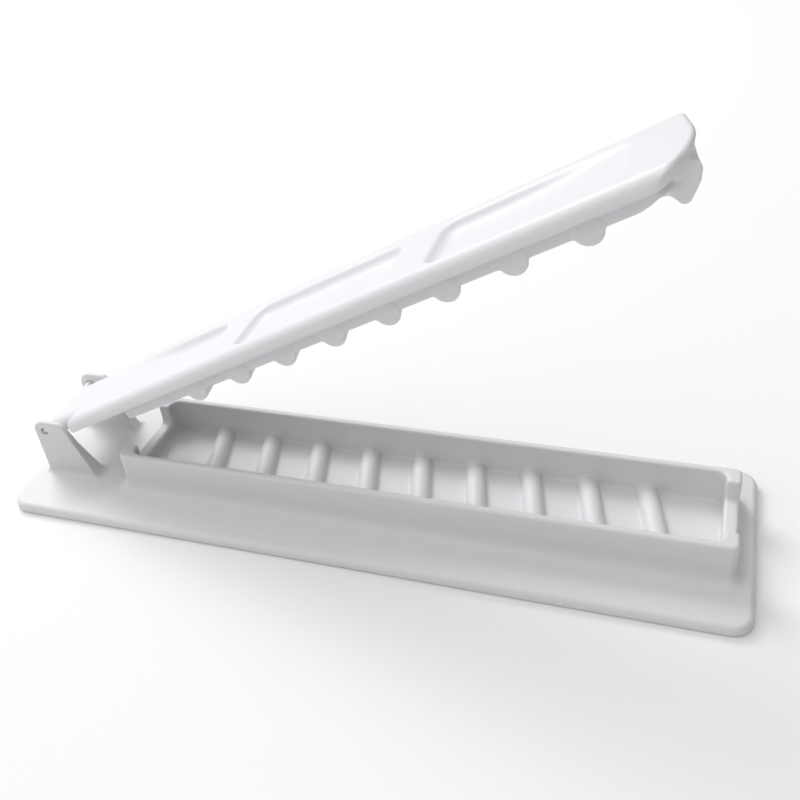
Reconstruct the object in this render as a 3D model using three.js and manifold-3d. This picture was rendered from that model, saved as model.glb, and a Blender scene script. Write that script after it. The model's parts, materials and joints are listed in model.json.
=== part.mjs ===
// Hinged strip press: a long ribbed tray on a base plate, and a toothed lid that snaps into two ears.
// Millimetres, +X along the tray towards its free end, +Y across it, +Z up.
// The origin is the bottom centre of the base plate. The lid stands open at rest.

import * as THREE from "three";
import { mergeVertices } from "three/addons/utils/BufferGeometryUtils.js";
import Module from "manifold-3d";

const wasm = await Module();
wasm.setup();

// ---------------------------------------------------------------- driving dimensions

const plateLength = 212;
const plateWidth = 59;
const plateThickness = 3;
const plateCorner = 5.5;

const trayStart = -73; // hinge end, outer face
const trayEnd = 100.8; // free end, outer face
const trayWidth = 30.4;
const trayWall = 2.2;
const trayEndWall = 3.8;
const trayCorner = 1.4;
const cavityCorner = 2.4;
const rimHeight = 12.2; // above the plate's top
const floorHeight = 1.5;
const notchWidth = 18.4; // lowered sill in both end walls
const notchSill = 6;

const ribCount = 9;
const ribFirst = -49.5;
const ribPitch = 16.2;
const ribRadius = 2.9;
const skew = THREE.MathUtils.degToRad(14.5);

const earOuter = 13.5; // outer face, from the middle plane
const earFootThickness = 5;
const earNeckThickness = 2.2; // just below the lid's tongue when it is closed
const earTopThickness = 1.5;
const earRadius = 3.5; // round corner about the pivot
const earTopLength = 6.6; // flat top, from the pivot's axis towards the tray
const earFootLength = 13.4; // foot of the front slope, from the pivot's axis
const earHoleRadius = 1.2;

const axisX = -98.3;
const axisHeight = 15.8; // above the plate's top
const pegRadius = 1;
const pegRecess = 0.5; // the pegs end this far inside the ears' outer faces

const openAngle = THREE.MathUtils.degToRad(27.7);
const lidWidth = 30.8;
const lidTop = 0.9; // above the pivot's axis
const lidEdge = -3.3; // underside of the lid's rim, below the pivot's axis
const lidHeel = 1.3; // the lid runs this far behind the pivot's axis
const lidShoulder = 11; // where the near side steps out in front of the ear
const sweepStart = 13.6; // the far side widens by a sweep between these two
const sweepEnd = 32.6;
const lidCorner = 3; // corners of the free end
const lidNose = 201.4; // tip of the bowed free end
const noseRadius = 22;
const noseMiddle = -1.5; // the bow is centred a little to the near side
const tongueWidth = 21.6;

const plugWidth = 25.4; // the underside that drops into the tray
const plugStart = 31;
const plugEnd = 194.5;
const plugCorner = 2.4;
const plugBottom = -6.9;
const teethAt = [57.2, 73.3, 89.3, 105.5, 122, 138.6, 156, 173.8]; // on the middle plane
const toothRadius = 3.4;
const toothTip = -9.7;

const beakWidth = 17.4; // the slanting beak that drops into the free end's notch
const beakMiddle = 193.6; // its lowest edge, on the middle plane
const beakBottom = -10.5;

const pocketFloor = -1.5;
const pocketCorner = 4;
const pocketMiddle = -1.2; // the pockets lie a little towards the near side
const pockets = [
  { from: 28, to: 67, halfWidth: 9.8 },
  { from: 78, to: 127, halfWidth: 9.8 },
  { from: 139, to: 187, halfWidth: 10.4 },
];

const plateTop = plateThickness;
const rimTop = plateTop + rimHeight;
const axisZ = plateTop + axisHeight;
const overlap = 1; // joined bodies run this far into each other

// ---------------------------------------------------------------- materials

const basePlastic = new THREE.MeshStandardMaterial({ color: 0xe9e9ee, roughness: 0.42, metalness: 0 });
const lidPlastic = new THREE.MeshStandardMaterial({ color: 0xeeeef4, roughness: 0.4, metalness: 0 });

// ---------------------------------------------------------------- solids and shapes

function toSolid(geometry) {
  const bare = geometry.clone();
  bare.deleteAttribute("normal");
  bare.deleteAttribute("uv");
  const merged = mergeVertices(bare, 1e-5);
  return new wasm.Manifold(
    new wasm.Mesh({
      numProp: 3,
      vertProperties: new Float32Array(merged.attributes.position.array),
      triVerts: new Uint32Array(merged.index.array),
    }),
  );
}

function toMesh(solid, name, material) {
  const mesh = solid.getMesh();
  const geometry = new THREE.BufferGeometry();
  geometry.setAttribute("position", new THREE.BufferAttribute(mesh.vertProperties, 3));
  geometry.setIndex(new THREE.BufferAttribute(mesh.triVerts, 1));
  geometry.computeVertexNormals();
  const result = new THREE.Mesh(geometry, material);
  result.name = name;
  return result;
}

function roundedRectangle(x0, x1, halfWidth, radius) {
  const shape = new THREE.Shape();
  const quarter = Math.PI / 2;
  shape.moveTo(x0 + radius, -halfWidth);
  shape.lineTo(x1 - radius, -halfWidth);
  shape.absarc(x1 - radius, -halfWidth + radius, radius, -quarter, 0);
  shape.lineTo(x1, halfWidth - radius);
  shape.absarc(x1 - radius, halfWidth - radius, radius, 0, quarter);
  shape.lineTo(x0 + radius, halfWidth);
  shape.absarc(x0 + radius, halfWidth - radius, radius, quarter, 2 * quarter);
  shape.lineTo(x0, -halfWidth + radius);
  shape.absarc(x0 + radius, -halfWidth + radius, radius, 2 * quarter, 3 * quarter);
  return shape;
}

// A plan outline in X and Y, raised from z0 to z1, and shifted across by y.
function raised(shape, z0, z1, curveSegments = 5, y = 0) {
  const geometry = new THREE.ExtrudeGeometry(shape, { depth: z1 - z0, bevelEnabled: false, curveSegments });
  geometry.translate(0, y, z0);
  return toSolid(geometry);
}

// A side outline in X and Z, run across from y0 to y1, and leaning by slant as the ribs do.
function across(shape, y0, y1, slant = 0) {
  const settings = { depth: y1 - y0, bevelEnabled: false, curveSegments: 6 };
  const geometry = new THREE.ExtrudeGeometry(shape, settings);
  geometry.rotateX(Math.PI / 2);
  geometry.translate(0, y1, 0);
  geometry.applyMatrix4(new THREE.Matrix4().makeShear(0, 0, -Math.tan(slant), 0, 0, 0));
  return toSolid(geometry);
}

// An end outline in Y and Z, run along from x0 to x1.
function along(shape, x0, x1, curveSegments = 4) {
  const geometry = new THREE.ExtrudeGeometry(shape, { depth: x1 - x0, bevelEnabled: false, curveSegments });
  geometry.rotateX(Math.PI / 2);
  geometry.rotateZ(Math.PI / 2);
  geometry.translate(x0, 0, 0);
  return toSolid(geometry);
}

function block(x0, x1, y0, y1, z0, z1) {
  const geometry = new THREE.BoxGeometry(x1 - x0, y1 - y0, z1 - z0);
  geometry.translate((x0 + x1) / 2, (y0 + y1) / 2, (z0 + z1) / 2);
  return toSolid(geometry);
}

function cylinderAcross(radius, length, x, z, segments = 16) {
  const geometry = new THREE.CylinderGeometry(radius, radius, length, segments);
  geometry.translate(x, 0, z);
  return toSolid(geometry);
}

// Round bars lying side by side across the tray, all turned by the same skew.
function skewedBars(places, radius, length, z) {
  let bars = null;
  for (const x of places) {
    const geometry = new THREE.CylinderGeometry(radius, radius, length, 16);
    geometry.rotateZ(skew);
    geometry.translate(x, 0, z);
    const bar = toSolid(geometry);
    bars = bars === null ? bar : bars.add(bar);
  }
  return bars;
}

// ---------------------------------------------------------------- base moulding

function plate() {
  const halfLength = plateLength / 2;
  return raised(roundedRectangle(-halfLength, halfLength, plateWidth / 2, plateCorner), 0, plateTop, 8);
}

function tray() {
  const half = trayWidth / 2;
  const outer = raised(roundedRectangle(trayStart, trayEnd, half, trayCorner), plateTop - overlap, rimTop);
  const insideOutline = roundedRectangle(
    trayStart + trayEndWall,
    trayEnd - trayEndWall,
    half - trayWall,
    cavityCorner,
  );
  const inside = raised(insideOutline, plateTop + floorHeight, rimTop + overlap);
  const notches = block(
    trayStart - overlap,
    trayEnd + overlap,
    -notchWidth / 2,
    notchWidth / 2,
    plateTop + notchSill,
    rimTop + overlap,
  );
  return outer.subtract(inside).subtract(notches);
}

function ribs() {
  const reach = trayWidth / 2 - overlap;
  const places = Array.from({ length: ribCount }, (_, i) => ribFirst + i * ribPitch);
  const bars = skewedBars(places, ribRadius, trayWidth, plateTop + floorHeight);
  return bars.intersect(block(trayStart, trayEnd, -reach, reach, plateTop - overlap, rimTop));
}

function earSide() {
  const top = axisZ + earRadius;
  const foot = plateTop - overlap;
  const corner = 1.6;
  const shape = new THREE.Shape();
  shape.moveTo(axisX - earRadius, foot);
  shape.lineTo(axisX + earFootLength, foot);
  shape.lineTo(axisX + earFootLength, plateTop);
  shape.lineTo(axisX + earTopLength, top - corner);
  shape.quadraticCurveTo(axisX + earTopLength - corner / 3, top, axisX + earTopLength - corner, top);
  shape.lineTo(axisX, top);
  shape.absarc(axisX, axisZ, earRadius, Math.PI / 2, Math.PI);
  return shape;
}

// The ear seen from the end: its outer face is upright, and its inner face leans towards it,
// steeply up to the neck and a little above it.
function earEnd(side) {
  const top = axisZ + earRadius + overlap;
  const foot = plateTop - overlap;
  const shape = new THREE.Shape();
  shape.moveTo(side * earOuter, foot);
  shape.lineTo(side * earOuter, top);
  shape.lineTo(side * (earOuter - earTopThickness), top);
  shape.lineTo(side * (earOuter - earNeckThickness), axisZ + lidEdge - overlap);
  shape.lineTo(side * (earOuter - earFootThickness), foot);
  return shape;
}

function ear(side) {
  const reach = earFootLength + overlap;
  return across(earSide(), -earOuter, earOuter).intersect(along(earEnd(side), axisX - reach, axisX + reach));
}

function baseMoulding() {
  const holes = cylinderAcross(earHoleRadius, plateWidth, axisX, axisZ);
  return plate().add(tray()).add(ribs()).add(ear(-1)).add(ear(1)).subtract(holes);
}

// ---------------------------------------------------------------- lid moulding
// Drawn closed, with X and Z measured from the pivot's axis.

// The near side steps out square from the tongue, and the far side sweeps out.
// The free end is bowed on the near side and slants back straight on the far side.
function lidPlan() {
  const half = lidWidth / 2;
  const tongue = tongueWidth / 2;
  const corner = 2.2;
  const quarter = Math.PI / 2;
  const noseCentre = lidNose - noseRadius;
  const cornerCentre = half - lidCorner;
  const bow = Math.asin((cornerCentre + noseMiddle) / (noseRadius - lidCorner));
  const nearCorner = noseCentre + (noseRadius - lidCorner) * Math.cos(bow);
  const slantStart = noseMiddle + noseRadius * Math.sin(skew);
  const slantRun = cornerCentre + lidCorner * Math.sin(skew) - slantStart;
  const farCorner =
    noseCentre + (noseRadius - lidCorner) * Math.cos(skew) - slantRun * Math.tan(skew);
  const sweepMiddle = (sweepStart + sweepEnd) / 2;
  const shape = new THREE.Shape();
  shape.moveTo(-lidHeel, -tongue);
  shape.lineTo(lidShoulder, -tongue);
  shape.lineTo(lidShoulder, -half + corner);
  shape.absarc(lidShoulder + corner, -half + corner, corner, 2 * quarter, 3 * quarter);
  shape.lineTo(nearCorner, -half);
  shape.absarc(nearCorner, -cornerCentre, lidCorner, -quarter, -bow);
  shape.absarc(noseCentre, noseMiddle, noseRadius, -bow, skew);
  shape.absarc(farCorner, cornerCentre, lidCorner, skew, quarter);
  shape.lineTo(sweepEnd, half);
  shape.bezierCurveTo(sweepMiddle, half, sweepMiddle, tongue, sweepStart, tongue);
  shape.lineTo(-lidHeel, tongue);
  return shape;
}

// The lid from the side: a round heel behind the pivot, and a nose that thins towards its tip.
function lidSide() {
  const quarter = Math.PI / 2;
  const heelDrop = lidTop - lidHeel;
  const shape = new THREE.Shape();
  shape.moveTo(0, lidEdge);
  shape.lineTo(lidNose - 2.4, lidEdge);
  shape.quadraticCurveTo(lidNose - 1.2, -1.6, lidNose, -0.6);
  shape.quadraticCurveTo(lidNose, lidTop, lidNose - 1.2, lidTop);
  shape.lineTo(0, lidTop);
  shape.absarc(0, heelDrop, lidHeel, quarter, 2 * quarter);
  shape.lineTo(-lidHeel, lidEdge + lidHeel);
  shape.absarc(0, lidEdge + lidHeel, lidHeel, 2 * quarter, 3 * quarter);
  return shape;
}

function plug() {
  const half = plugWidth / 2;
  const shape = new THREE.Shape();
  shape.moveTo(plugStart, lidEdge + overlap);
  shape.lineTo(plugStart, plugBottom);
  shape.lineTo(plugEnd - 8, plugBottom);
  shape.quadraticCurveTo(plugEnd - 5, plugBottom, plugEnd - 3, plugBottom + 0.9);
  shape.lineTo(plugEnd, plugBottom + 1.2);
  shape.lineTo(plugEnd, lidEdge + overlap);
  const outline = roundedRectangle(plugStart, plugEnd, half, plugCorner);
  return across(shape, -half, half).intersect(raised(outline, plugBottom - overlap, lidEdge + 2 * overlap));
}

function teeth() {
  const half = plugWidth / 2;
  const length = plugWidth / Math.cos(skew) + 2 * toothRadius;
  const bars = skewedBars(teethAt, toothRadius, length, toothTip + toothRadius);
  return bars.intersect(block(plugStart, plugEnd, -half, half, toothTip - overlap, lidEdge + overlap));
}

// The beak is a hooked bar, slanted like the teeth.
function beak() {
  const half = beakWidth / 2;
  const shape = new THREE.Shape();
  shape.moveTo(beakMiddle - 5, lidEdge + overlap);
  shape.lineTo(beakMiddle - 4, plugBottom + 1);
  shape.quadraticCurveTo(beakMiddle - 2, -7.2, beakMiddle - 1.3, -9);
  shape.quadraticCurveTo(beakMiddle - 0.8, beakBottom, beakMiddle, beakBottom);
  shape.quadraticCurveTo(beakMiddle + 1, beakBottom, beakMiddle + 2.4, -9);
  shape.quadraticCurveTo(beakMiddle + 4.6, -6.6, beakMiddle + 5.2, -4.4);
  shape.quadraticCurveTo(beakMiddle + 5.6, -2.6, beakMiddle + 5.6, lidEdge + overlap);
  return across(shape, -half, half, skew);
}

function lidMoulding() {
  const slab = raised(lidPlan(), lidEdge - overlap, lidTop + overlap, 4);
  const blank = slab.intersect(across(lidSide(), -lidWidth, lidWidth));
  const pegs = cylinderAcross(pegRadius, 2 * (earOuter - pegRecess), 0, 0);
  let solid = blank.add(plug()).add(teeth()).add(beak()).add(pegs);
  for (const { from, to, halfWidth } of pockets) {
    const outline = roundedRectangle(from, to, halfWidth, pocketCorner);
    solid = solid.subtract(raised(outline, pocketFloor, lidTop + overlap, 5, pocketMiddle));
  }
  return solid;
}

// ---------------------------------------------------------------- assembly

const press = new THREE.Group();
press.add(toMesh(baseMoulding(), "base_moulding", basePlastic));

const lid = new THREE.Group();
lid.position.set(axisX, 0, axisZ);
lid.rotation.y = -openAngle;
lid.add(toMesh(lidMoulding(), "lid_moulding", lidPlastic));
press.add(lid);

export default press;
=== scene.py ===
import json
import math

import bpy
import numpy as np
from mathutils import Matrix, Vector


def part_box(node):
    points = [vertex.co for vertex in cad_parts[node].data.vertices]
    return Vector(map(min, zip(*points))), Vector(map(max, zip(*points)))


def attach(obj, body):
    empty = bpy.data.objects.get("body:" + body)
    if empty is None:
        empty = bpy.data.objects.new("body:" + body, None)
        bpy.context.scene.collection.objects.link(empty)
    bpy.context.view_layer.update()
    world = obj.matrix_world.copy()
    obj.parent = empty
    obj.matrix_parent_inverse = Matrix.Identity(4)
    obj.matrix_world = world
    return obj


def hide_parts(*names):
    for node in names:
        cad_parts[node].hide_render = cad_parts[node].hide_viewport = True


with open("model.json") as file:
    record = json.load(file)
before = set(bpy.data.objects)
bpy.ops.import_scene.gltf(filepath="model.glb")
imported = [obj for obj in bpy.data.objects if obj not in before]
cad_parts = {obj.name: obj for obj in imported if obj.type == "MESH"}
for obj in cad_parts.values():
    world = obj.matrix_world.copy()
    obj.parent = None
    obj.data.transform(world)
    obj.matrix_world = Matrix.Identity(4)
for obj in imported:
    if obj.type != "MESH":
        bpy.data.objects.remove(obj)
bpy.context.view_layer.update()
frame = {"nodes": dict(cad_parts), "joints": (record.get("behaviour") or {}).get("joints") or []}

# ------------------------------------------------------------------ dimensions
# Millimetres. Lengths along the tray are measured from the middle of the plate on the base, and from
# the pivot's axis on the lid. The lid is drawn closed and level, then turned to where it stands at rest.

MM = 0.001
GRID = 0.42
BASE_FACES = 150000
LID_FACES = 110000
FAR_AWAY = 1e9
OVERLAP = 1.0           # how far a shape runs on past the face where it ends
EDGE_ROUNDING = 0.5

SKEW = math.radians(14.5)
OPEN = math.radians(27.7)

base_low, base_high = (np.array(corner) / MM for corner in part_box("base_moulding"))
PLATE_HALF_LENGTH = (base_high[0] - base_low[0]) / 2
PLATE_HALF_WIDTH = (base_high[1] - base_low[1]) / 2
PLATE_TOP = 3.0
PLATE_CORNER = 5.5
PLATE_ROUNDING = 1.5

TRAY = (-73.0, 100.8)
TRAY_HALF_WIDTH = 15.2
TRAY_CORNER = 1.8
TRAY_FILLET = 4.2
CAVITY = (-69.2, 97.0)
CAVITY_HALF_WIDTH = 13.0
CAVITY_CORNER = 2.4
RIM_TOP = 15.2
RIM_ROUNDING = 0.9
RIM_SOFTNESS = 1.0
FLOOR = 4.5
FLOOR_ROUNDING = 0.9
NOTCH_HALF_WIDTH = 9.2
NOTCH_CORNER = 1.6
NOTCH_REACH = 12.0      # how far each notch's cutter reaches into the cavity
SILL = 9.0

RIB_COUNT = 9
RIB_FIRST = -49.5
RIB_PITCH = 16.2
RIB_RADIUS = 2.9
RIB_FILLET = 0.8

LID_TOP = 0.9
LID_EDGE = -3.3
LID_HALF_WIDTH = 15.4
TONGUE_HALF_WIDTH = 10.8
HEEL = 1.3
HEEL_SOFTNESS = 0.3
TONGUE_REACH = 8.0      # how far the tongue runs on past the shoulder
TONGUE_FILLET = 0.8
SHOULDER = 11.0
SHOULDER_ROUNDING = 1.6
SWEEP = (13.6, 32.6)
SLANT_SCALE = 0.97      # brings the field of a slanting side back to about a true distance
NOSE = 201.4
NOSE_RADIUS = 22.0
NOSE_MIDDLE = -1.5
LID_ROUNDING = 3.3
NOSE_ROUNDING = 1.2
NOSE_UNDERCUT = 0.75    # how fast the nose draws back, going down
UNDERCUT_TOP = -0.3
UNDERCUT_DEPTH = 3.0
LOWER_ROUNDING = 0.4
LID_LOWEST = -10.6      # just under the beak

PLUG = (31.0, 194.5)
PLUG_HALF_WIDTH = 12.7
PLUG_CORNER = 2.4
PLUG_TOP = -1.6
PLUG_BOTTOM = -6.9
PLUG_FILLET = 0.5
PLUG_RISE = 1.3
PLUG_RISE_START = 8.0   # before the plug's free end
PLUG_RISE_LENGTH = 6.0
TEETH = (57.2, 73.3, 89.3, 105.5, 122.0, 138.6, 156.0, 173.8)
TOOTH_RADIUS = 3.4
TOOTH_TIP = -9.7
TOOTH_ROUNDING = 0.4
TOOTH_FILLET = 0.7
TEETH_TOP = -3.0
BEAK_MIDDLE = 193.6
BEAK_HALF_WIDTH = 8.7
BEAK_ROUNDING = 0.6
BEAK_FILLET = 3.0
# The beak's outline from the side: how far along from its middle, and how far up from the axis.
BEAK = [(-5.0, -1.8), (-4.2, -6.2), (-2.2, -7.2), (-1.2, -9.0), (-0.8, -9.9), (0.0, -10.4), (1.1, -10.2),
        (2.6, -8.8), (4.6, -6.8), (5.8, -4.6), (5.9, -3.4), (4.0, -1.6)]
PEG_RADIUS = 1.0
PEG_END = 13.0
PEG_FILLET = 0.3

POCKET_DEPTH = 2.4
POCKET_MIDDLE = -1.2
POCKET_CORNER = 4.0
POCKET_ROUNDING = 1.8
POCKET_SOFTNESS = 1.0
POCKET_WALL = (0.8, 0.4)    # the walls lean outwards as they rise
POCKET_FADES = (30.0, 38.0)
POCKETS = ((27.0, 67.0, 9.8), (78.0, 127.5, 9.8), (139.0, 188.0, 10.4))

AXIS = np.array(frame["joints"][0]["pos_m"]) / MM
HOLE_RADIUS = 1.2
HOLE_SOFTNESS = 0.3
EAR_OUTER = 13.5
EAR_RADIUS = 3.5
EAR_TOP = AXIS[2] + EAR_RADIUS
EAR_FOOT = 13.4             # from the axis to the front edge's foot
EAR_FRONT = (0.943, 0.332)  # the way the sloping front edge faces, in X and Z
EAR_CORNER = 1.6
EAR_FILLET = 2.2
# Height and thickness at the foot, at the neck beside the lid's edge, and at the top.
EAR_THICKNESS = (
    (PLATE_TOP - OVERLAP, 5.0),
    (AXIS[2] + LID_EDGE - OVERLAP, 2.2),
    (EAR_TOP + OVERLAP, 1.5),
)


# ------------------------------------------------------------------ distance fields
# A solid is a function that is negative inside it and positive outside it.

def union(a, b, fillet=0.0):
    """Both solids, with a fillet of about this size where they meet."""
    if fillet == 0.0:
        return np.minimum(a, b)
    h = np.maximum(fillet - np.abs(a - b), 0.0) / fillet
    return np.minimum(a, b) - h * h * fillet / 4


def common(a, b, fillet=0.0):
    """What both solids share, with a softened edge."""
    return -union(-a, -b, fillet)


def without(a, b, fillet=0.0):
    """Solid a less solid b, with a softened edge."""
    return common(a, -b, fillet)


def rounded(a, b, radius):
    """What both share, with a true round edge where the two faces are square to each other."""
    u = a + radius
    v = b + radius
    outside = np.sqrt(np.maximum(u, 0.0) ** 2 + np.maximum(v, 0.0) ** 2)
    return outside + np.minimum(np.maximum(u, v), 0.0) - radius


def rectangle(x, y, x0, x1, half, corner):
    """A rounded rectangle in plan."""
    side = np.abs(y) - half
    ends = np.abs(x - (x0 + x1) / 2) - (x1 - x0) / 2
    return rounded(side, ends, corner)


def skewed_bar(x, y, z, middle, height, radius):
    """An endless round bar across the tray, turned by the skew, its near end towards +X."""
    along = (x - middle) * math.cos(SKEW) + y * math.sin(SKEW)
    return np.sqrt(along ** 2 + (z - height) ** 2) - radius


def polygon(x, y, corners):
    """A closed outline of straight sides, of any shape."""
    best = np.full(np.broadcast(x, y).shape, FAR_AWAY)
    inside = np.zeros(best.shape, bool)
    for (ax, ay), (bx, by) in zip(corners, corners[1:] + corners[:1]):
        ex, ey = bx - ax, by - ay
        share = np.clip(((x - ax) * ex + (y - ay) * ey) / (ex * ex + ey * ey), 0.0, 1.0)
        best = np.minimum(best, (x - ax - share * ex) ** 2 + (y - ay - share * ey) ** 2)
        if ay != by:
            crosses = (y >= min(ay, by)) & (y < max(ay, by))
            inside ^= crosses & (x < ax + (y - ay) * ex / ey)
    return np.where(inside, -1.0, 1.0) * np.sqrt(best)


# ------------------------------------------------------------------ base moulding

def base_field(x, y, z):
    """The plate, the ribbed tray with its two notches, and the ears with their holes."""
    plan = rectangle(x, y, -PLATE_HALF_LENGTH, PLATE_HALF_LENGTH, PLATE_HALF_WIDTH, PLATE_CORNER)
    plate = rounded(plan, z - PLATE_TOP, PLATE_ROUNDING)

    outer = rounded(rectangle(x, y, *TRAY, TRAY_HALF_WIDTH, TRAY_CORNER), z - RIM_TOP, RIM_ROUNDING)
    solid = union(plate, outer, TRAY_FILLET)

    inside = rectangle(x, y, *CAVITY, CAVITY_HALF_WIDTH, CAVITY_CORNER)
    solid = without(solid, rounded(inside, FLOOR - z, FLOOR_ROUNDING), RIM_SOFTNESS)

    row = np.clip(np.round((x + y * math.tan(SKEW) - RIB_FIRST) / RIB_PITCH), 0, RIB_COUNT - 1)
    ribs = skewed_bar(x, y, z, RIB_FIRST + row * RIB_PITCH, FLOOR, RIB_RADIUS)
    ribs = common(ribs, np.abs(y) - CAVITY_HALF_WIDTH - OVERLAP)
    solid = union(solid, ribs, RIB_FILLET)

    middle = sum(CAVITY) / 2
    notch = rounded(np.abs(y) - NOTCH_HALF_WIDTH, SILL - z, NOTCH_CORNER)
    notch = common(notch, CAVITY[1] - middle - NOTCH_REACH - np.abs(x - middle))
    solid = without(solid, notch, RIM_SOFTNESS)

    u = x - AXIS[0]
    front = (u - EAR_FOOT) * EAR_FRONT[0] + (z - PLATE_TOP) * EAR_FRONT[1]
    side = rounded(rounded(-EAR_RADIUS - u, z - EAR_TOP, EAR_RADIUS), front, EAR_CORNER)
    thickness = np.interp(z, *zip(*EAR_THICKNESS))
    inner = EAR_OUTER - thickness - np.abs(y)
    ear = rounded(rounded(side, np.abs(y) - EAR_OUTER, EDGE_ROUNDING), inner, EDGE_ROUNDING)
    solid = union(solid, ear, EAR_FILLET)
    hole = np.sqrt(u ** 2 + (z - AXIS[2]) ** 2) - HOLE_RADIUS
    return rounded(without(solid, hole, HOLE_SOFTNESS), -z, EDGE_ROUNDING)


# ------------------------------------------------------------------ lid moulding
# With the lid closed and level: s along from the pivot's axis, y across, n up from the axis.

def lid_slab(s, y, n):
    """The flat part: bowed end and square shoulder on the near side, slanted and swept on the far side."""
    share = np.clip((s - SWEEP[0]) / (SWEEP[1] - SWEEP[0]), 0.0, 1.0)
    swept = TONGUE_HALF_WIDTH + (LID_HALF_WIDTH - TONGUE_HALF_WIDTH) * share ** 2 * (3 - 2 * share)
    far = (y - swept) * SLANT_SCALE
    near = rounded(-LID_HALF_WIDTH - y, SHOULDER - s, SHOULDER_ROUNDING)
    u = s - (NOSE - NOSE_RADIUS)
    v = y - NOSE_MIDDLE
    bow = np.sqrt(np.maximum(u, 0.0) ** 2 + v ** 2)
    slant = u * math.cos(SKEW) + v * math.sin(SKEW)
    nose = np.where(np.arctan2(v, u) > SKEW, slant, bow) - NOSE_RADIUS
    nose = nose + NOSE_UNDERCUT * np.clip(UNDERCUT_TOP - n, 0.0, UNDERCUT_DEPTH)
    sides = np.maximum(near, far)
    tongue = np.maximum(np.abs(y) - TONGUE_HALF_WIDTH, s - SHOULDER - TONGUE_REACH)
    slab = rounded(union(sides, tongue, TONGUE_FILLET), n - LID_TOP, LID_ROUNDING)
    return rounded(slab, nose, NOSE_ROUNDING)


def pocket_field(s, y, n, x0, x1, half):
    """One shallow pocket. The first deepens away from the hinge, and the last runs out at the free end."""
    fade_in = np.clip((s - POCKETS[0][0]) / POCKET_FADES[0], 0.0, 1.0)
    fade_out = np.clip((POCKETS[2][1] - s) / POCKET_FADES[1], 0.0, 1.0)
    depth = POCKET_DEPTH * (1 - (1 - fade_in) ** 2) * (1 - (1 - fade_out) ** 2)
    outline = rectangle(s, y - POCKET_MIDDLE, x0, x1, half, POCKET_CORNER)
    walls = outline * POCKET_WALL[0] + POCKET_WALL[1] * (LID_TOP - n)
    return rounded(walls, LID_TOP - depth - n, POCKET_ROUNDING)


def lid_field(s, y, n):
    """The slab with its pockets, the plug and teeth under it, the beak and the two pegs."""
    heel = rounded(-HEEL - s, n - LID_TOP, HEEL)
    heel = rounded(heel, LID_EDGE - n, HEEL)
    slab = rounded(lid_slab(s, y, n), LID_EDGE - n, LOWER_ROUNDING)
    slab = common(slab, heel, HEEL_SOFTNESS)
    for x0, x1, half in POCKETS:
        slab = without(slab, pocket_field(s, y, n, x0, x1, half), POCKET_SOFTNESS)

    plan = rectangle(s, y, *PLUG, PLUG_HALF_WIDTH, PLUG_CORNER)
    share = np.clip((s - (PLUG[1] - PLUG_RISE_START)) / PLUG_RISE_LENGTH, 0.0, 1.0)
    plug = rounded(plan, PLUG_BOTTOM + PLUG_RISE * share ** 2 - n, EDGE_ROUNDING)
    plug = np.maximum(plug, n - PLUG_TOP)

    teeth = np.full(np.broadcast(s, y, n).shape, FAR_AWAY)
    for middle in TEETH:
        teeth = np.minimum(teeth, skewed_bar(s, y, n, middle, TOOTH_TIP + TOOTH_RADIUS, TOOTH_RADIUS))
    teeth = np.maximum(rounded(teeth, np.abs(y) - PLUG_HALF_WIDTH, TOOTH_ROUNDING), n - TEETH_TOP)
    under = union(plug, teeth, TOOTH_FILLET)

    hook = polygon(s + y * math.tan(SKEW) - BEAK_MIDDLE, n, BEAK) * SLANT_SCALE
    beak = rounded(hook, np.abs(y) - BEAK_HALF_WIDTH, BEAK_ROUNDING)
    solid = union(slab, under, PLUG_FILLET)
    solid = union(solid, beak, BEAK_FILLET)

    peg = np.maximum(np.sqrt(s ** 2 + n ** 2) - PEG_RADIUS, np.abs(y) - PEG_END)
    return union(solid, peg, PEG_FILLET)


# ------------------------------------------------------------------ meshing

SETTLING_STEPS = 4      # Newton steps that bring each point onto the surface
LONGEST_STEP = 0.3
LEAST_SLOPE = 0.2
NORMAL_REACH = 0.05


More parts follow.
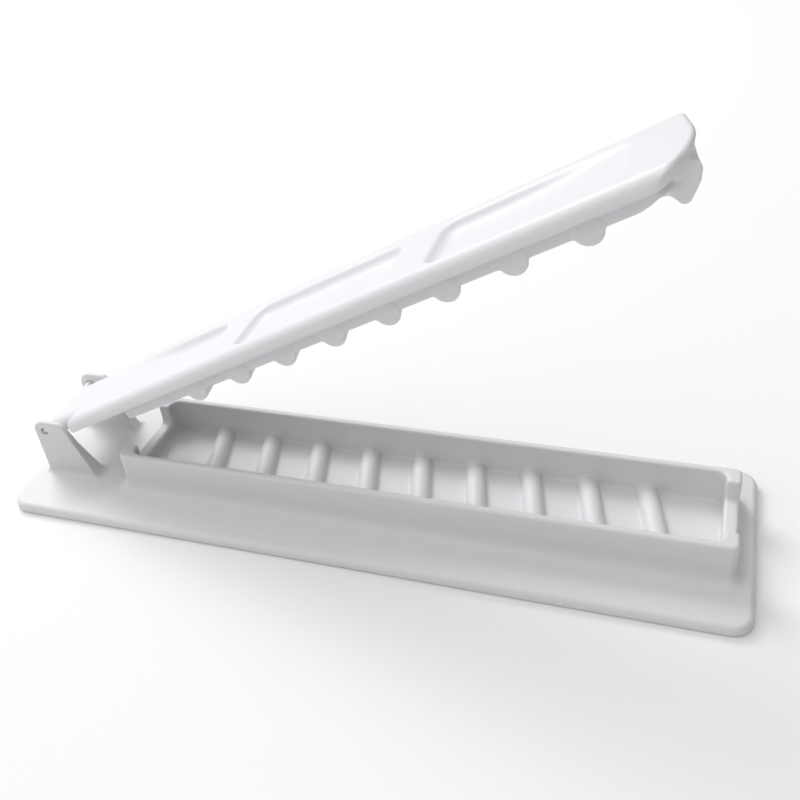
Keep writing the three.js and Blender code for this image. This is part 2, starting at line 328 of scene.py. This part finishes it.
def surface_net(field, low, high, step):
    """The zero surface of a field as points and four-sided faces, one point for each cell it crosses."""
    axes = [np.arange(a - 1.5 * step, b + 2.5 * step, step) for a, b in zip(low, high)]
    values = field(axes[0][:, None, None], axes[1][None, :, None], axes[2][None, None, :])
    inside = values < 0
    corners = [(i, j, k) for i in (0, 1) for j in (0, 1) for k in (0, 1)]
    shape = tuple(n - 1 for n in values.shape)
    count = np.zeros(shape, np.int8)
    for i, j, k in corners:
        count += inside[i:i + shape[0], j:j + shape[1], k:k + shape[2]]
    cells = np.argwhere((count > 0) & (count < 8))
    number = np.full(shape, -1)
    number[tuple(cells.T)] = np.arange(len(cells))

    total = np.zeros((len(cells), 3))
    hits = np.zeros(len(cells))
    for a in corners:
        for axis in range(3):
            if a[axis] == 0:
                b = tuple(1 if q == axis else a[q] for q in range(3))
                va = values[tuple((cells + a).T)]
                vb = values[tuple((cells + b).T)]
                cut = (va < 0) != (vb < 0)
                share = np.where(cut, va / np.where(cut, va - vb, 1.0), 0.0)
                point = np.array(a) + share[:, None] * (np.array(b) - np.array(a))
                total += point * cut[:, None]
                hits += cut
    points = (cells + total / hits[:, None]) * step + np.array([a[0] for a in axes])

    faces = []
    for axis in range(3):
        p, q = (axis + 1) % 3, (axis + 2) % 3
        start = np.moveaxis(inside, (axis, p, q), (0, 1, 2))[:-1, 1:-1, 1:-1]
        end = np.moveaxis(inside, (axis, p, q), (0, 1, 2))[1:, 1:-1, 1:-1]
        turned = np.moveaxis(number, (axis, p, q), (0, 1, 2))
        for crossing, order in ((start & ~end, (0, 1, 2, 3)), (~start & end, (3, 2, 1, 0))):
            i, j, k = np.nonzero(crossing)
            ring = [turned[i, j, k], turned[i, j + 1, k], turned[i, j + 1, k + 1], turned[i, j, k + 1]]
            faces.append(np.stack([ring[m] for m in order], 1))
    return points, np.concatenate(faces)


def slope(field, points, reach=0.02):
    """The field's gradient at each point."""
    result = np.zeros_like(points)
    for axis in range(3):
        shift = np.zeros(3)
        shift[axis] = reach
        result[:, axis] = (field(*(points + shift).T) - field(*(points - shift).T)) / (2 * reach)
    return result


def moulding(name, field, low, high, faces_wanted, place):
    """A smooth mesh of the field's solid, thinned where it is flat, turned and moved by place."""
    points, quads = surface_net(field, low, high, GRID)
    for _ in range(SETTLING_STEPS):
        g = slope(field, points)
        move = np.clip(field(*points.T), -LONGEST_STEP, LONGEST_STEP)[:, None] * g
        points -= move / np.maximum((g * g).sum(1), LEAST_SLOPE)[:, None]
    mesh = bpy.data.meshes.new(name)
    mesh.from_pydata(points, [], quads)
    piece = bpy.data.objects.new(name, mesh)
    bpy.context.scene.collection.objects.link(piece)

    thin = piece.modifiers.new("thin", "DECIMATE")
    thin.ratio = min(1.0, faces_wanted / (2 * len(quads)))
    bpy.context.view_layer.update()
    thinned = bpy.data.meshes.new_from_object(piece.evaluated_get(bpy.context.evaluated_depsgraph_get()))
    piece.modifiers.clear()
    piece.data = thinned
    thinned.name = name

    kept = np.zeros(len(thinned.vertices) * 3)
    thinned.vertices.foreach_get("co", kept)
    kept = kept.reshape(-1, 3)
    g = slope(field, kept, NORMAL_REACH)
    normals = g / np.linalg.norm(g, axis=1)[:, None]
    turn = np.array(place.to_3x3())
    kept = (kept @ turn.T + np.array(place.translation)) * MM
    thinned.vertices.foreach_set("co", kept.ravel())
    thinned.shade_smooth()
    thinned.normals_split_custom_set_from_vertices(normals @ turn.T)
    thinned.update()
    return piece


# ------------------------------------------------------------------ materials

def plastic(name, colour, roughness):
    """White moulded plastic: satin, very slightly uneven, and a little translucent."""
    material = bpy.data.materials.new(name)
    material.use_nodes = True
    tree = material.node_tree
    shader = tree.nodes["Principled BSDF"]
    shader.inputs["Subsurface Weight"].default_value = 0.12
    shader.inputs["Subsurface Radius"].default_value = (1.0, 0.95, 0.9)
    shader.inputs["Subsurface Scale"].default_value = 0.002
    shader.inputs["IOR"].default_value = 1.49

    place = tree.nodes.new("ShaderNodeTexCoord")
    cloud = tree.nodes.new("ShaderNodeTexNoise")
    cloud.inputs["Scale"].default_value = 18.0
    cloud.inputs["Detail"].default_value = 3.0
    tree.links.new(place.outputs["Object"], cloud.inputs["Vector"])

    tint = tree.nodes.new("ShaderNodeMix")
    tint.data_type = "RGBA"
    tint.inputs["A"].default_value = (*[0.97 * c for c in colour], 1.0)
    tint.inputs["B"].default_value = (*colour, 1.0)
    tree.links.new(cloud.outputs["Fac"], tint.inputs["Factor"])
    tree.links.new(tint.outputs["Result"], shader.inputs["Base Color"])

    gloss = tree.nodes.new("ShaderNodeMapRange")
    gloss.inputs["To Min"].default_value = roughness - 0.05
    gloss.inputs["To Max"].default_value = roughness + 0.05
    tree.links.new(cloud.outputs["Fac"], gloss.inputs["Value"])
    tree.links.new(gloss.outputs["Result"], shader.inputs["Roughness"])

    grain = tree.nodes.new("ShaderNodeTexNoise")
    grain.inputs["Scale"].default_value = 900.0
    grain.inputs["Detail"].default_value = 2.0
    tree.links.new(place.outputs["Object"], grain.inputs["Vector"])
    bump = tree.nodes.new("ShaderNodeBump")
    bump.inputs["Strength"].default_value = 0.04
    bump.inputs["Distance"].default_value = 0.0002
    tree.links.new(grain.outputs["Fac"], bump.inputs["Height"])
    tree.links.new(bump.outputs["Normal"], shader.inputs["Normal"])
    return material


# ------------------------------------------------------------------ the press

base_plastic = plastic("base_plastic", (0.715, 0.715, 0.725), 0.48)
lid_plastic = plastic("lid_plastic", (0.74, 0.74, 0.76), 0.47)

base = moulding("base", base_field, base_low, base_high, BASE_FACES, Matrix.Identity(4))
base.data.materials.append(base_plastic)
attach(base, "base")
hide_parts("base_moulding")

closed_low = np.array([-HEEL, -LID_HALF_WIDTH, LID_LOWEST])
closed_high = np.array([NOSE, LID_HALF_WIDTH, LID_TOP])
stand = Matrix.Translation(Vector(AXIS)) @ Matrix.Rotation(-OPEN, 4, "Y")
lid = moulding("lid", lid_field, closed_low, closed_high, LID_FACES, stand)
lid.data.materials.append(lid_plastic)
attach(lid, "lid")
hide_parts("lid_moulding")

for node, material in (("base_moulding", base_plastic), ("lid_moulding", lid_plastic)):
    cad = frame["nodes"][node]
    cad.data.materials.clear()
    cad.data.materials.append(material)


# ------------------------------------------------------------------ studio

def floor():
    """A wide pale floor that the press stands on."""
    mesh = bpy.data.meshes.new("floor")
    half = 6.0
    corners = [(-half, -half, 0), (half, -half, 0), (half, half, 0), (-half, half, 0)]
    mesh.from_pydata(corners, [], [(0, 1, 2, 3)])
    plane = bpy.data.objects.new("floor", mesh)
    plane.location.z = -0.0002
    bpy.context.scene.collection.objects.link(plane)
    material = bpy.data.materials.new("floor")
    material.use_nodes = True
    shader = material.node_tree.nodes["Principled BSDF"]
    shader.inputs["Base Color"].default_value = (0.89, 0.89, 0.89, 1.0)
    shader.inputs["Roughness"].default_value = 0.9
    shader.inputs["Specular IOR Level"].default_value = 0.1
    mesh.materials.append(material)


def softbox(name, place, target, size, power, colour):
    """A square area light at place, facing target. Metres and watts."""
    light = bpy.data.lights.new(name, "AREA")
    light.size = size
    light.energy = power
    light.color = colour
    lamp = bpy.data.objects.new(name, light)
    lamp.location = place
    lamp.rotation_euler = (Vector(target) - Vector(place)).to_track_quat("-Z", "Y").to_euler()
    bpy.context.scene.collection.objects.link(lamp)


def sky(towards, horizon, zenith, backdrop):
    """A soft overcast sky, dim near the horizon and brightest in one direction, seen as an even backdrop."""
    world = bpy.data.worlds.new("sky")
    world.use_nodes = True
    tree = world.node_tree
    place = tree.nodes.new("ShaderNodeTexCoord")
    height = tree.nodes.new("ShaderNodeVectorMath")
    height.operation = "DOT_PRODUCT"
    height.inputs[1].default_value = Vector(towards).normalized()
    tree.links.new(place.outputs["Generated"], height.inputs[0])
    ramp = tree.nodes.new("ShaderNodeMapRange")
    ramp.inputs["From Min"].default_value = 0.1
    ramp.inputs["To Min"].default_value = horizon
    ramp.inputs["To Max"].default_value = zenith
    tree.links.new(height.outputs["Value"], ramp.inputs["Value"])
    seen = tree.nodes.new("ShaderNodeMix")
    seen.inputs["B"].default_value = backdrop
    tree.links.new(tree.nodes.new("ShaderNodeLightPath").outputs["Is Camera Ray"], seen.inputs["Factor"])
    tree.links.new(ramp.outputs["Result"], seen.inputs["A"])
    tree.links.new(seen.outputs["Result"], tree.nodes["Background"].inputs["Strength"])
    tree.nodes["Background"].inputs["Color"].default_value = (1.0, 1.0, 1.0, 1.0)
    bpy.context.scene.world = world


def camera(place, left, down, roll, lens):
    """A camera that looks along +Y, turned left and down and rolled. Metres, degrees and millimetres."""
    data = bpy.data.cameras.new("camera")
    data.lens = lens
    data.sensor_width = 36.0
    data.clip_start = 0.01
    data.clip_end = 50.0
    eye = bpy.data.objects.new("camera", data)
    turn = Matrix.Rotation(math.radians(left), 4, "Z")
    tilt = Matrix.Rotation(math.radians(90.0 - down), 4, "X")
    lean = Matrix.Rotation(math.radians(-roll), 4, "Z")
    eye.matrix_world = Matrix.Translation(place) @ turn @ tilt @ lean
    bpy.context.scene.collection.objects.link(eye)
    bpy.context.scene.camera = eye


floor()
sky((-0.4, -0.1, 0.9), 0.02, 1.42, 0.8)
softbox("key", (-0.8, 0.6, 0.9), (-0.05, 0.0, 0.03), 0.6, 8.0, (0.98, 0.98, 1.0))
camera((0.08377, -0.18761, 0.18407), 21.0, 36.3, 6.0, 42.03)
bpy.context.scene.view_settings.view_transform = "Standard"
